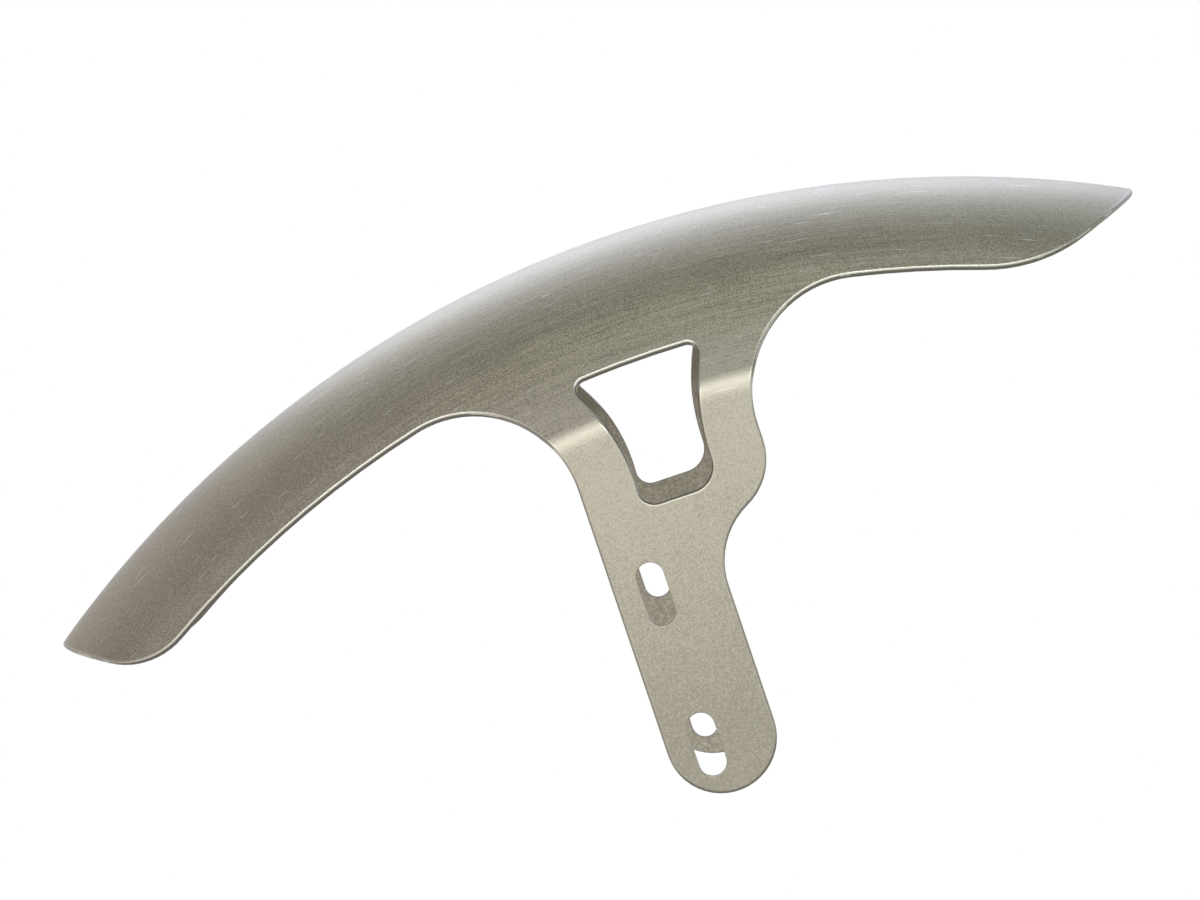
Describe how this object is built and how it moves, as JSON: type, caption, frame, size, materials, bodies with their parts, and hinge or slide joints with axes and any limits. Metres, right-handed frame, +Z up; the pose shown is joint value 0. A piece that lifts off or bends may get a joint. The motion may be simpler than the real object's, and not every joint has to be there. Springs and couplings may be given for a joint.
{
  "type": "motorcycle front fender",
  "caption": "Short pressed-steel front fender: an arched crown follows the wheel, and a flat slotted leg folds down on each side to bolt to the fork.",
  "frame": {"origin": "midway between the two legs, midway between their upper and lower bolt slots", "axes": "+X forward along the fender, +Y to the rider's left along the wheel's axle, +Z up along the line of the bolt slots"},
  "size_m": [0.3851, 0.14, 0.182],
  "materials": {
    "bare_steel": "bare steel, ground lengthwise to a fine satin grain"
  },
  "bodies": {
    "root": {"fender": "bare_steel"}
  },
  "joints": []
}
